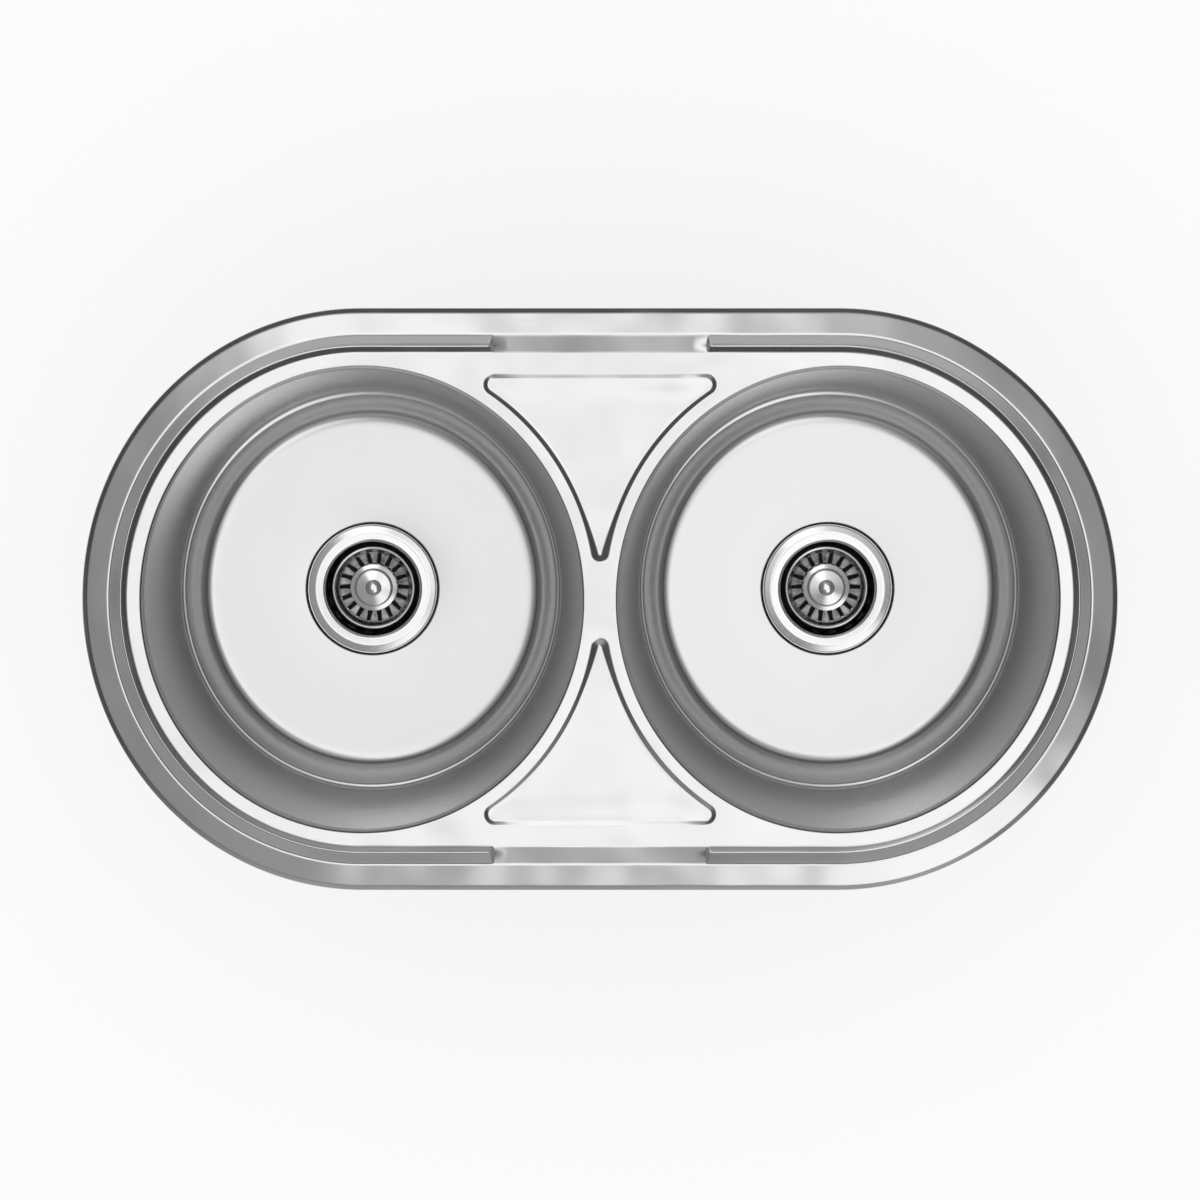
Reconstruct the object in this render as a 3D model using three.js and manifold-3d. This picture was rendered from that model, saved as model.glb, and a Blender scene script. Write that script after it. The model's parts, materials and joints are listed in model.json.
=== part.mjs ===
// A double bowl inset kitchen sink in stainless steel, with two basket strainer wastes and six
// fixing clips. Millimetres, +Z up, +X to the right and +Y to the back.
// The origin is midway between the bowls, on the worktop's upper face, where the rim rests.

import * as THREE from "three";
import { mergeVertices } from "three/addons/utils/BufferGeometryUtils.js";
import Module from "manifold-3d";

const wasm = await Module();
wasm.setup();

// ---------------------------------------------------------------------------
// Driving dimensions
// ---------------------------------------------------------------------------

// Plan of the pressed top, counted outwards from the mouth of a bowl
const mouthHalfLength = 185.5; // a mouth's half size along X
const mouthHalfDepth = 195.7; // a mouth's half size along Y
const bridge = 33.6; // deck between the two mouths
const ledge = 14.8; // flat ledge round the mouths
const channel = 15; // drained channel, from the ledge up to the ridge
const band = 22; // rim band, from the ridge to the outer edge

// Heights of the pressed top above the worktop
const ridgeTop = 8.5;
const ledgeTop = 3.5;
const bandFall = 4; // how far the convex band falls to its outer edge
const edgeFoot = 0.5; // the turned-down edge stops this far above the worktop
const channelDepth = 3.2;
const sheet = 1; // steel thickness of the top and of the bowls

// Small forms of the pressed top
const edgeRadius = 2.5; // outer edge
const lipRadius = 3; // mouth edge
const lipDrop = 6.5; // the mouth's turned-down lip ends this far below the ledge
const landLength = 180; // middle of the front and back channels, where they run shallow
const landEnd = 3; // over this length the channel gets its full depth again

// Embossed triangles between the bowls
const panelDepth = 1.8;
const panelStep = 4.2; // width of the step round a triangle
const panelMargin = 12.9; // deck left between a mouth and a triangle
const panelEdgeInset = 3.8; // straight edge, counted inwards from the mouths' outermost line
const panelCorner = 9.1; // radius of the two wide corners
const panelTipCentre = 40; // centre of the narrow tip's arc, counted from the middle of the deck

// Bowls
const bowlDepth = 170; // ledge to floor
const weldFlange = 8; // width of the flange welded under the top
const wallDraft = 17.5; // how far the wall leans in, from the mouth to the bead
const beadHeight = 19.5; // narrow step round the foot of the wall, above the floor
const beadInset = 21.5; // inner edge of that step, inwards from the mouth
const floorInset = 44.5; // flat of the floor, inwards from the mouth
const floorFall = 1; // fall of the floor to the waste
const recessRadius = 58.5; // round recess that takes the waste's flange
const recessDepth = 2.5;
const wasteHole = 46; // radius of the hole in the floor
const padInner = 66; // sound pad
const padOuter = 128;
const padThickness = 2.5;

// Basket strainer waste: radii and thicknesses
const flangeRadius = 56.5;
const cupMouth = 41.9;
const cupBore = 35.2; // bore below the seat of the basket
const cupWall = 1.6;
const outletBore = 21;
const outletLength = 24;
const seatWidth = 11; // flat seat of the rubber stopper
const gasketThickness = 1.5;
const rubberThickness = 2.5;
const fibreThickness = 1;
const washerRadius = 55;
const locknutHeight = 9;
const locknutRadius = 53;
const lugRadius = 58;
const basketSeatDepth = 16; // seat of the basket, below the recess
const stopperSeatDepth = 42; // seat of the stopper, below the recess
const basketRim = 37;
const basketMouth = 33.9;
const basketFloor = 23.5;
const basketDepth = 18;
const basketSheet = 0.8;
const slotCount = 18;
const slotOuter = 32.2; // outer end of a slot
const slotInner = 21.4; // inner end of a slot
const slotWidth = 2.2;
const slotRoot = 5.4; // width of a slot at its inner end
const postRadius = 4;
const collarRadius = 7;
const rivetHeight = 2.5;
const stopperRadius = 30;
const stopperThickness = 4;
const knobDisc = 20.9;
const knobCap = 15.9;
const knobButton = 6.7;
const knobLift = 15.5; // underside of the knob's disc above the basket's floor
const knobDiscHeight = 2.2;
const knobCapHeight = 4;
const knobButtonHeight = 3.6;
const tailBore = 18.4;
const tailWall = 1.6;
const tailLength = 46;
const tailFlange = 3; // how far the tailpiece's flange stands out
const tailFlangeThickness = 2;
const tailWasherThickness = 2;
const nutWall = 5; // coupling nut
const nutGrip = 14; // how much of the outlet the coupling nut covers
const nutFloor = 3;

// Rim seal and fixing clips
const sealInset = 5.5; // inwards from the outer edge
const sealWidth = 10;
const worktop = 28; // thickness of the worktop that the clips hold
const clipInset = 6.5; // screw, outwards from the ledge's outer edge
const bracketLength = 26;
const bracketWidth = 13;
const bracketSheet = 1.5;
const sleeveRadius = 5.5;
const sleeveLength = 16;
const screwRadius = 3;
const screwHeadRadius = 6;
const screwHeadHeight = 4;
const jawReach = 23; // screw to the jaw's outer end
const jawHeel = 8;
const jawWidth = 15;
const jawSheet = 2.5;
const jawTooth = 5; // height of the turned-up end

const gap = 0.3; // between pieces that touch
const runningGap = 0.4; // between pieces that turn in each other

// Fineness of round forms
const ovalSteps = 36;
const roundSteps = 24;
const smallSteps = 16;
const screwSteps = 10;

// ---------------------------------------------------------------------------
// Sizes that follow from the driving ones
// ---------------------------------------------------------------------------

const bowlX = mouthHalfLength + bridge / 2; // centre of a bowl
const ridgeAt = ledge + channel;
const edgeAt = ridgeAt + band;
const floorTop = ledgeTop - bowlDepth;
const recessTop = floorTop - floorFall - recessDepth;

// ---------------------------------------------------------------------------
// Helpers
// ---------------------------------------------------------------------------

const finish = {
  satin: { color: 0xc9cacb, roughness: 0.35, metalness: 1 },
  polished: { color: 0xd6d7d8, roughness: 0.15, metalness: 1 },
  zinc: { color: 0xb4b6b4, roughness: 0.45, metalness: 1 },
  rubber: { color: 0x232324, roughness: 0.8, metalness: 0 },
  foam: { color: 0x3a3b3c, roughness: 0.95, metalness: 0 },
  fibre: { color: 0xb9925e, roughness: 0.9, metalness: 0 },
  plastic: { color: 0xe6e6e2, roughness: 0.45, metalness: 0 },
};

function named(name, geometry, look) {
  const mesh = new THREE.Mesh(geometry, new THREE.MeshStandardMaterial(look));
  mesh.name = name;
  return mesh;
}

function solidOf(geometry) {
  const bare = geometry.clone();
  bare.deleteAttribute("normal");
  bare.deleteAttribute("uv");
  const merged = mergeVertices(bare, 1e-4);
  return new wasm.Manifold(
    new wasm.Mesh({
      numProp: 3,
      vertProperties: merged.attributes.position.array,
      triVerts: new Uint32Array(merged.index.array),
    }),
  );
}

function geometryOf(solid) {
  const mesh = solid.getMesh();
  const geometry = new THREE.BufferGeometry();
  geometry.setAttribute("position", new THREE.BufferAttribute(mesh.vertProperties, 3));
  geometry.setIndex(new THREE.BufferAttribute(mesh.triVerts, 1));
  geometry.computeVertexNormals();
  return geometry;
}

// A turned piece: its profile is a list of [radius, height], anticlockwise with the radius to the
// right. A profile that doesn't start on the axis is closed to a ring.
function turned(profile, steps) {
  const points = profile.map(([r, z]) => new THREE.Vector2(r, z));
  if (profile[0][0] > 0) points.push(points[0].clone());
  return new THREE.LatheGeometry(points, steps).rotateX(Math.PI / 2);
}

function ringProfile(inner, outer, low, high) {
  return [
    [inner, low],
    [outer, low],
    [outer, high],
    [inner, high],
  ];
}

// The sections of a closed ring, each a list of points round the section, joined into one surface.
function ringOf(sections) {
  const across = sections[0].length;
  const index = [];
  sections.forEach((_, i) => {
    const here = i * across;
    const next = ((i + 1) % sections.length) * across;
    for (let j = 0; j < across; j++) {
      const k = (j + 1) % across;
      index.push(here + j, next + j, here + k);
      index.push(next + j, next + k, here + k);
    }
  });
  const geometry = new THREE.BufferGeometry();
  geometry.setFromPoints(sections.flat());
  geometry.setIndex(index);
  return geometry;
}

// A solid between outlines of the same number of points, from the lowest to the highest.
function loftOf(outlines) {
  const around = outlines[0].length;
  const index = [];
  for (let i = 0; i + 1 < outlines.length; i++) {
    for (let j = 0; j < around; j++) {
      const k = (j + 1) % around;
      const low = i * around;
      const high = low + around;
      index.push(low + j, low + k, high + j);
      index.push(low + k, high + k, high + j);
    }
  }
  const flat = outlines[0].map((p) => new THREE.Vector2(p.x, p.y));
  const top = (outlines.length - 1) * around;
  for (const [a, b, c] of THREE.ShapeUtils.triangulateShape(flat, [])) {
    index.push(c, b, a);
    index.push(top + a, top + b, top + c);
  }
  const geometry = new THREE.BufferGeometry();
  geometry.setFromPoints(outlines.flat());
  geometry.setIndex(index);
  return geometry;
}

function plate(outline, holes, low, thickness) {
  const shape = new THREE.Shape(outline);
  shape.holes = holes.map((hole) => new THREE.Path(hole));
  const geometry = new THREE.ExtrudeGeometry(shape, { depth: thickness, bevelEnabled: false });
  return geometry.translate(0, 0, low);
}

// The other face of a sheet: the line moved sideways by a thickness, to the left of its direction.
function besideLine(line, thickness) {
  return line.map((point, i) => {
    const back = line[Math.max(i - 1, 0)];
    const ahead = line[Math.min(i + 1, line.length - 1)];
    const before = new THREE.Vector2(point[0] - back[0], point[1] - back[1]);
    const after = new THREE.Vector2(ahead[0] - point[0], ahead[1] - point[1]);
    if (before.length() === 0) before.copy(after);
    if (after.length() === 0) after.copy(before);
    before.normalize();
    after.normalize();
    const mean = before.clone().add(after).normalize();
    const widen = Math.min(1 / mean.dot(before), Math.SQRT2);
    return [point[0] - mean.y * thickness * widen, point[1] + mean.x * thickness * widen];
  });
}

function arcPoints(x, y, radius, fromAngle, toAngle, steps) {
  return Array.from({ length: steps + 1 }, (_, i) => {
    const angle = THREE.MathUtils.lerp(fromAngle, toAngle, i / steps);
    return [x + radius * Math.cos(angle), y + radius * Math.sin(angle)];
  });
}

function circle(radius, steps) {
  return Array.from({ length: steps }, (_, i) => {
    const angle = (2 * Math.PI * i) / steps;
    return new THREE.Vector2(radius * Math.cos(angle), radius * Math.sin(angle));
  });
}

function roundCutter(radius, low, high) {
  return solidOf(turned([[0, low], [radius, low], [radius, high], [0, high]], screwSteps));
}

// ---------------------------------------------------------------------------
// The pressed top
// ---------------------------------------------------------------------------

// Stations round the rim: the centre that each is counted from along X, and its angle. The ends are
// half ovals round the bowls' centres, and the straight stretches run between them.
function rimStations() {
  const half = ovalSteps / 2;
  const landHalf = landLength / 2;
  const straight = [landHalf + landEnd, landHalf, -landHalf, -landHalf - landEnd];
  const stations = [];
  for (const side of [1, -1]) {
    const middle = side > 0 ? 0 : Math.PI;
    for (let i = 0; i <= half; i++) {
      const angle = middle - Math.PI / 2 + (Math.PI * i) / half;
      stations.push({ x: side * bowlX, angle });
    }
    for (const x of straight) stations.push({ x: side * x, angle: middle + Math.PI / 2 });
  }
  return stations;
}

// A point outside the mouths' common outline by the given offset.
function rimPoint({ x, angle }, offset, z = 0) {
  const px = x + (mouthHalfLength + offset) * Math.cos(angle);
  const py = (mouthHalfDepth + offset) * Math.sin(angle);
  return new THREE.Vector3(px, py, z);
}

function bandHeight(offset) {
  const share = (offset - ridgeAt) / (band - edgeRadius);
  return ridgeTop - bandFall * share ** 1.6;
}

// The top face from the ledge to the outer foot. depth is the channel's depth at this place.
function rimLine(depth) {
  const lap = 2;
  const line = [
    [ledge - lap, ledgeTop],
    [ledge, ledgeTop],
  ];
  for (const u of [0.18, 0.4, 0.7, 1]) {
    const straight = THREE.MathUtils.lerp(ledgeTop, ridgeTop, u);
    const groove = depth * (0.5 - 0.5 * Math.cos(2 * Math.PI * u ** 0.7));
    line.push([ledge + channel * u, straight - groove]);
  }
  const bandMiddle = ridgeAt + (band - edgeRadius) / 2;
  line.push([bandMiddle, bandHeight(bandMiddle)]);
  const shoulder = ridgeTop - bandFall;
  const centre = [edgeAt - edgeRadius, shoulder - edgeRadius];
  line.push(...arcPoints(...centre, edgeRadius, Math.PI / 2, 0, 2));
  line.push([edgeAt, edgeFoot]);
  return line;
}

function sheetLoopDown(line) {
  return [...besideLine(line, -sheet), ...line.slice().reverse()];
}

function rimRing() {
  const sections = rimStations().map((station) => {
    const straightEnd = landLength / 2 + landEnd / 2;
    const onLand = Math.abs(station.x) < straightEnd;
    const loop = sheetLoopDown(rimLine(onLand ? 0 : channelDepth));
    return loop.map(([offset, z]) => rimPoint(station, offset, z));
  });
  return solidOf(ringOf(sections));
}

function mouthOutline(side, offset, z = 0) {
  return Array.from({ length: ovalSteps }, (_, i) => {
    const angle = (2 * Math.PI * i) / ovalSteps;
    return rimPoint({ x: side * bowlX, angle }, offset, z);
  });
}

// The mouth's edge, rolled down into a short lip.
function mouthLip(side) {
  const lap = 2;
  const roll = arcPoints(lipRadius, ledgeTop - lipRadius, lipRadius, Math.PI / 2, Math.PI, 2);
  const line = [[lipRadius + lap, ledgeTop], ...roll, [0, ledgeTop - lipDrop]];
  const loop = [...besideLine(line, sheet).reverse(), ...line];
  const sections = Array.from({ length: ovalSteps }, (_, i) => {
    const station = { x: side * bowlX, angle: (2 * Math.PI * i) / ovalSteps };
    return loop.map(([offset, z]) => rimPoint(station, offset, z));
  });
  return solidOf(ringOf(sections));
}

// How far outside a bowl's mouth the oval through (x, y) lies, found by halving.
function offsetThrough(x, y) {
  let low = 0;
  let high = mouthHalfLength;
  for (let i = 0; i < 50; i++) {
    const middle = (low + high) / 2;
    const reach = Math.hypot(x / (mouthHalfLength + middle), y / (mouthHalfDepth + middle));
    if (reach > 1) low = middle;
    else high = middle;
  }
  return (low + high) / 2;
}

// A triangle's outline, drawn in by inset: two ovals that follow the bowls, a straight edge, two
// wide corners and a narrow tip. y is the front or the back.
function panelOutline(y, inset, z) {
  const cornerOffset = panelMargin + panelCorner;
  const cornerY = mouthHalfDepth - panelEdgeInset - panelCorner;
  const cornerAngle = Math.PI - Math.asin(cornerY / (mouthHalfDepth + cornerOffset));
  const cornerX = bowlX + (mouthHalfLength + cornerOffset) * Math.cos(cornerAngle);
  const tipOffset = offsetThrough(bowlX, panelTipCentre);
  const tipAngle = Math.PI - Math.asin(panelTipCentre / (mouthHalfDepth + tipOffset));
  const tipRadius = tipOffset - panelMargin;
  const drawnIn = Math.min(inset, 0.8 * tipRadius, 0.8 * panelCorner);
  const side = [
    ...arcPoints(cornerX, cornerY, panelCorner - drawnIn, Math.PI / 2, cornerAngle - Math.PI, 4),
  ];
  const sideSteps = 8;
  for (let i = 1; i < sideSteps; i++) {
    const angle = THREE.MathUtils.lerp(cornerAngle, tipAngle, i / sideSteps);
    const point = rimPoint({ x: bowlX, angle }, panelMargin + drawnIn);
    side.push([point.x, point.y]);
  }
  side.push(
    ...arcPoints(0, panelTipCentre, tipRadius - drawnIn, tipAngle - Math.PI, -Math.PI / 2, 2),
  );
  const otherSide = side.slice(0, -1).reverse().map(([px, py]) => [-px, py]);
  const outline = [...side, ...otherSide].map(([px, py]) => new THREE.Vector3(px, y * py, z));
  return y > 0 ? outline.reverse() : outline;
}

function panelBlock(y) {
  const lap = 1;
  const low = ledgeTop - panelDepth - sheet;
  return solidOf(loftOf([panelOutline(y, -lap, low), panelOutline(y, -lap, ledgeTop)]));
}

function panelHollow(y) {
  const low = ledgeTop - panelDepth;
  const levels = [
    panelOutline(y, panelStep, low),
    panelOutline(y, panelStep / 2, low + 0.6 * panelDepth),
    panelOutline(y, 0, ledgeTop),
    panelOutline(y, 0, ledgeTop + sheet),
  ];
  return solidOf(loftOf(levels));
}

function sinkDeck() {
  const outline = rimStations().map((station) => rimPoint(station, ledge));
  const holes = [1, -1].map((side) => mouthOutline(side, lipRadius));
  let deck = solidOf(plate(outline, holes, ledgeTop - sheet, sheet)).add(rimRing());
  for (const side of [1, -1]) deck = deck.add(mouthLip(side));
  for (const y of [1, -1]) deck = deck.add(panelBlock(y)).subtract(panelHollow(y));
  return named("sink_deck", geometryOf(deck), finish.satin);
}

// ---------------------------------------------------------------------------
// The bowls
// ---------------------------------------------------------------------------

// Half size along Y of a bowl's ring whose half size along X is given: oval at the mouth, and
// rounder towards the waste.
function ringDepth(halfLength) {
  const share = (halfLength - recessRadius) / (mouthHalfLength - recessRadius);
  const stretch = mouthHalfDepth - mouthHalfLength;
  return halfLength + stretch * THREE.MathUtils.clamp(share, 0, 1);
}

// The inner face from the welded flange down to the waste hole, as [half length, height].
function bowlLine() {
  const seam = mouthHalfLength + sheet + gap;
  const bend = lipRadius - sheet;
  const flangeTop = ledgeTop - sheet - gap;
  const lipEnd = ledgeTop - lipDrop;
  const bead = mouthHalfLength - beadInset;
  const flat = mouthHalfLength - floorInset;
  const recessEdge = recessRadius + recessDepth;
  const wallFoot = mouthHalfLength - wallDraft;
  const foot = bead - flat;
  return [
    [seam + weldFlange, flangeTop],
    ...arcPoints(seam + bend, flangeTop - bend, bend, Math.PI / 2, Math.PI, 2),
    [seam, lipEnd - gap],
    [wallFoot, floorTop + beadHeight + 0.5],
    [wallFoot - 1.8, floorTop + beadHeight - 0.6],
    [bead, floorTop + 0.95 * beadHeight],
    [bead - 0.13 * foot, floorTop + 0.82 * beadHeight],
    [bead - 0.32 * foot, floorTop + 0.55 * beadHeight],
    [bead - 0.54 * foot, floorTop + 0.25 * beadHeight],
    [bead - 0.78 * foot, floorTop + 0.06 * beadHeight],
    [flat, floorTop],
    [recessEdge, floorTop - floorFall],
    [recessRadius, recessTop],
    [wasteHole, recessTop],
  ];
}

function sinkBowl(name) {
  const line = bowlLine();
  const loop = [...besideLine(line, sheet).reverse(), ...line];
  const sections = Array.from({ length: ovalSteps }, (_, i) => {
    const angle = (2 * Math.PI * i) / ovalSteps;
    return loop.map(([half, z]) => {
      const y = ringDepth(half) * Math.sin(angle);
      return new THREE.Vector3(half * Math.cos(angle), y, z);
    });
  });
  return named(name, ringOf(sections), finish.satin);
}

function soundPad(name) {
  const line = [
    [padOuter, floorTop],
    [padInner, floorTop - floorFall],
  ];
  const top = line.map(([r, z]) => [r, z - sheet - gap]);
  const low = top.map(([r, z]) => [r, z - padThickness]);
  return named(name, turned([low[1], low[0], top[0], top[1]], roundSteps), finish.rubber);
}

// ---------------------------------------------------------------------------
// The basket strainer waste
// ---------------------------------------------------------------------------

const cupRadius = cupMouth + cupWall;
const flangeUnder = recessTop + gap + gasketThickness + gap;
const basketSeat = recessTop - basketSeatDepth;
const stopperSeat = recessTop - stopperSeatDepth;
const seatInner = cupBore - seatWidth;
const outletTop = stopperSeat - (seatInner - outletBore) * 2;
const outletEnd = outletTop - outletLength;
const outletRadius = outletBore + cupWall;
const recessUnder = recessTop - sheet;

function strainerCup(name) {
  const top = flangeUnder + cupWall;
  const line = [
    [flangeRadius, flangeUnder + 0.6 * cupWall],
    [flangeRadius - 1.6, top],
    [flangeRadius - 6, top + 0.3],
    [cupMouth + 4, top - 0.9],
    [cupMouth + 1, top - 2.8],
    [cupMouth, top - 6],
    [cupMouth, basketSeat],
    [cupBore, basketSeat],
    [cupBore, stopperSeat],
    [seatInner, stopperSeat],
    [outletBore, outletTop],
    [outletBore, outletEnd],
  ];
  const under = [
    [outletRadius, outletEnd],
    [outletRadius, outletTop - 1],
    [seatInner + 1, stopperSeat - cupWall],
    [cupBore + cupWall, stopperSeat - cupWall],
    [cupBore + cupWall, basketSeat - cupWall],
    [cupRadius, basketSeat - cupWall],
    [cupRadius, flangeUnder],
    [flangeRadius, flangeUnder],
  ];
  return named(name, turned([...under, ...line], roundSteps), finish.polished);
}

// The rings under the flange and under the bowl, from the top down.
const rubberTop = recessUnder - gap;
const fibreTop = rubberTop - rubberThickness - gap;
const locknutTop = fibreTop - fibreThickness - gap;

function washer(name, inner, outer, top, thickness, look) {
  return named(name, turned(ringProfile(inner, outer, top - thickness, top), smallSteps), look);
}

function locknut(name) {
  const lugs = 8;
  const outline = [];
  for (let i = 0; i < lugs; i++) {
    for (const [share, radius] of [
      [0, lugRadius],
      [0.3, lugRadius],
      [0.42, locknutRadius],
      [0.88, locknutRadius],
    ]) {
      const angle = (2 * Math.PI * (i + share)) / lugs;
      outline.push(new THREE.Vector2(radius * Math.cos(angle), radius * Math.sin(angle)));
    }
  }
  const bore = circle((cupRadius + gap) / Math.cos(Math.PI / roundSteps), roundSteps);
  const low = locknutTop - locknutHeight;
  return named(name, plate(outline, [bore], low, locknutHeight), finish.zinc);
}

const basketFloorTop = basketSeat - basketDepth;
const basketUnder = basketFloorTop - basketSheet;
const stopperTop = stopperSeat + gap + stopperThickness;
const postBore = postRadius + runningGap;

// One slot: narrow along the basket's wall, and wide where it ends under the knob.
function slotCutter(angle) {
  const neck = THREE.MathUtils.lerp(slotInner, slotOuter, 0.42);
  const outline = [
    [slotInner, -slotRoot / 2],
    [neck, -slotWidth / 2],
    [slotOuter, -slotWidth / 2],
    [slotOuter, slotWidth / 2],
    [neck, slotWidth / 2],
    [slotInner, slotRoot / 2],
  ].map(([x, y]) => new THREE.Vector2(x, y));
  const depth = 2 * basketDepth;
  const cutter = plate(outline, [], basketFloorTop - basketDepth / 2, depth);
  return solidOf(cutter.rotateZ(angle));
}

function basket(name) {
  const rimHeight = 2.4;
  const rimFoot = basketSeat + gap;
  const line = [
    [basketRim, rimFoot + 0.4 * rimHeight],
    [basketRim - 1.1, rimFoot + rimHeight],
    [basketMouth + 0.5, rimFoot + 0.8 * rimHeight],
    [basketMouth, rimFoot],
    [basketFloor + 1, basketFloorTop + 3],
    [basketFloor - 1.5, basketFloorTop],
    [postBore, basketFloorTop],
  ];
  const rimUnder = [
    [postBore, basketUnder],
    [basketFloor - 1.2, basketUnder],
    [basketFloor + 1.7, basketFloorTop + 2.7],
    [basketMouth + basketSheet, rimFoot],
    [basketRim, rimFoot],
  ];
  let shell = solidOf(turned([...rimUnder, ...line], 2 * slotCount));
  for (let i = 0; i < slotCount; i++) {
    shell = shell.subtract(slotCutter((2 * Math.PI * (i + 0.5)) / slotCount));
  }
  return named(name, geometryOf(shell), finish.polished);
}

function stopper(name) {
  const low = stopperSeat + gap;
  const profile = [
    [postBore, low],
    [stopperRadius - 1.5, low],
    [stopperRadius, low + 1.5],
    [stopperRadius - 1, stopperTop],
    [postBore, stopperTop],
  ];
  return named(name, turned(profile, smallSteps), finish.rubber);
}

const discUnder = basketFloorTop + knobLift;
const discTop = discUnder + knobDiscHeight;
const capTop = discTop + knobCapHeight;
const buttonTop = capTop + knobButtonHeight;

function post(name) {
  const low = stopperSeat - rivetHeight;
  const profile = [
    [0, low],
    [collarRadius, low],
    [collarRadius, stopperSeat],
    [postRadius, stopperSeat],
    [postRadius, stopperTop + gap],
    [collarRadius, stopperTop + gap],
    [collarRadius, basketUnder - gap],
    [postRadius, basketUnder - gap],
    [postRadius, discUnder],
    [0, discUnder],
  ];
  return named(name, turned(profile, screwSteps), finish.polished);
}

function knob(name) {
  const stem = 2 * postRadius;
  const low = basketFloorTop + gap;
  const profile = [
    [0, discUnder + gap],
    [postBore, discUnder + gap],
    [postBore, low],
    [stem, low],
    [stem, discUnder],
    [knobDisc - 0.6, discUnder],
    [knobDisc, discUnder + knobDiscHeight / 2],
    [knobCap + 0.6, discTop],
    [knobCap, capTop - 0.9],
    [knobCap - 1.6, capTop],
    [knobButton, capTop - 0.6],
    [knobButton - 1.2, buttonTop - 1.1],
    [0, buttonTop],
  ];
  return named(name, turned(profile, smallSteps), finish.polished);
}

const tailWasherTop = outletEnd - gap;
const tailTop = tailWasherTop - tailWasherThickness - gap;
const tailRadius = tailBore + tailWall;
const tailFlangeRadius = tailRadius + tailFlange;
const nutBore = Math.max(outletRadius, tailFlangeRadius) + gap;

function tailpiece(name) {
  const flangeUnderside = tailTop - tailFlangeThickness;
  const profile = [
    [tailBore, tailTop - tailLength],
    [tailRadius, tailTop - tailLength],
    [tailRadius, flangeUnderside],
    [tailFlangeRadius, flangeUnderside],
    [tailFlangeRadius, tailTop],
    [tailBore, tailTop],
  ];
  return named(name, turned(profile, smallSteps), finish.plastic);
}

function couplingNut(name) {
  const fit = 1 / Math.cos(Math.PI / smallSteps);
  const shoulder = tailTop - tailFlangeThickness - gap;
  const body = circle(nutBore + nutWall, 8);
  const height = outletEnd + nutGrip - shoulder;
  const thread = plate(body, [circle(nutBore * fit, smallSteps)], shoulder, height);
  const hole = circle((tailRadius + gap) * fit, smallSteps);
  const base = plate(body, [hole], shoulder - nutFloor, nutFloor);
  return named(name, geometryOf(solidOf(thread).add(solidOf(base))), finish.plastic);
}

function waste(side) {
  const group = new THREE.Group();
  const ringInner = wasteHole + gap;
  const gasketTop = recessTop + gap + gasketThickness;
  group.add(
    strainerCup(side + "_strainer_cup"),
    washer(side + "_flange_gasket", ringInner, washerRadius, gasketTop, gasketThickness, finish.rubber),
    washer(side + "_rubber_washer", ringInner, washerRadius, rubberTop, rubberThickness, finish.rubber),
    washer(side + "_friction_washer", ringInner, washerRadius, fibreTop, fibreThickness, finish.fibre),
    locknut(side + "_locknut"),
    basket(side + "_basket"),
    stopper(side + "_stopper"),
    post(side + "_post"),
    knob(side + "_knob"),
    washer(
      side + "_tail_washer",
      outletBore,
      nutBore - gap,
      tailWasherTop,
      tailWasherThickness,
      finish.rubber,
    ),
    tailpiece(side + "_tailpiece"),
    couplingNut(side + "_coupling_nut"),
  );
  return group;
}

// ---------------------------------------------------------------------------
// The rim seal and the fixing clips
// ---------------------------------------------------------------------------

function rimSeal() {
  const outer = edgeAt - sealInset;
  const top = bandHeight(outer) - sheet - gap;
  const profile = ringProfile(outer - sealWidth, outer, 0, top);
  const sections = rimStations().map((station) => {
    return profile.map(([offset, z]) => rimPoint(station, offset, z));
  });
  return named("rim_seal", ringOf(sections), finish.foam);
}

const grooveLow = Math.min(...rimLine(channelDepth).map(([, z]) => z));
const bracketTop = Math.min(grooveLow, ledgeTop) - sheet - gap;
const sleeveTop = bracketTop - bracketSheet;
const jawTop = -worktop - jawTooth;
const screwBore = screwRadius + runningGap;

function boxSolid(lowX, highX, width, low, high) {
  const box = new THREE.BoxGeometry(highX - lowX, width, high - low);
  return solidOf(box.translate((lowX + highX) / 2, 0, (low + high) / 2));
}

function clipBracket(name) {
  const sleeveEnd = sleeveTop - sleeveLength;
  const foot = boxSolid(-bracketWidth / 2, bracketWidth / 2, bracketLength, sleeveTop, bracketTop);
  const sleeve = roundCutter(sleeveRadius, sleeveEnd, sleeveTop + bracketSheet / 2);
  const bore = roundCutter(screwBore, sleeveEnd - 1, sleeveTop);
  return named(name, geometryOf(foot.add(sleeve).subtract(bore)), finish.zinc);
}

function clipScrew(name) {
  const headTop = jawTop - jawSheet - gap;
  const headEnd = headTop - screwHeadHeight;
  const profile = [
    [0, headEnd],
    [screwHeadRadius, headEnd],
    [screwHeadRadius, headTop],
    [screwRadius, headTop],
    [screwRadius, sleeveTop - 1],
    [0, sleeveTop - 1],
  ];
  return named(name, turned(profile, screwSteps), finish.zinc);
}

function clipJaw(name) {
  const low = jawTop - jawSheet;
  const arm = boxSolid(-jawHeel, jawReach, jawWidth, low, jawTop);
  const tooth = boxSolid(jawReach - jawSheet, jawReach, jawWidth, low, jawTop + jawTooth - gap);
  const bore = roundCutter(screwBore, low - 1, jawTop + 1);
  return named(name, geometryOf(arm.add(tooth).subtract(bore)), finish.zinc);
}

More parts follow.
